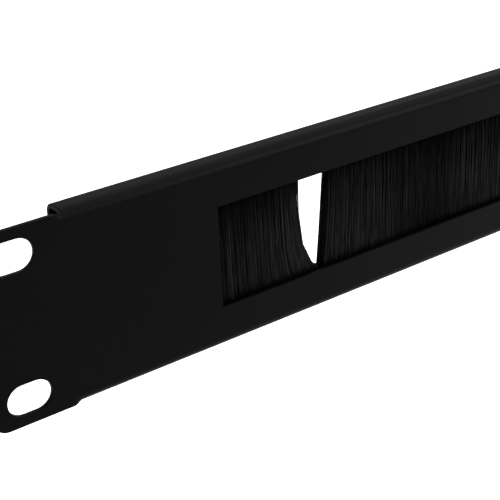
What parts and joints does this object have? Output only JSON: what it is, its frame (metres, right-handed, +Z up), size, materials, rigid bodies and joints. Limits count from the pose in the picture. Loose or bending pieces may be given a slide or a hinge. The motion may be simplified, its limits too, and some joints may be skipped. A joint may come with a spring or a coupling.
{
  "type": "rack brush strip panel",
  "caption": "Folded black sheet steel rack panel, one unit high, with a wide cable window closed by an upright strip brush that is parted where a cable passes.",
  "frame": {"origin": "centre of the four rack slots, on the plane in which the rear faces of the ears seat on the rack's rails", "axes": "+X along the panel to the right seen from the front, +Y back into the rack, +Z up"},
  "size_m": [0.4826, 0.0071, 0.0444],
  "materials": {
    "powder_coated_steel": "fine matt black powder coat",
    "crimped_steel": "black coated steel, crimped",
    "wire": "drawn steel wire",
    "filament": "black nylon filaments"
  },
  "bodies": {
    "root": {"panel": "powder_coated_steel", "brush_channel": "crimped_steel", "core_wire": "wire", "bristles_left": "filament", "bristles_right": "filament"}
  },
  "joints": []
}
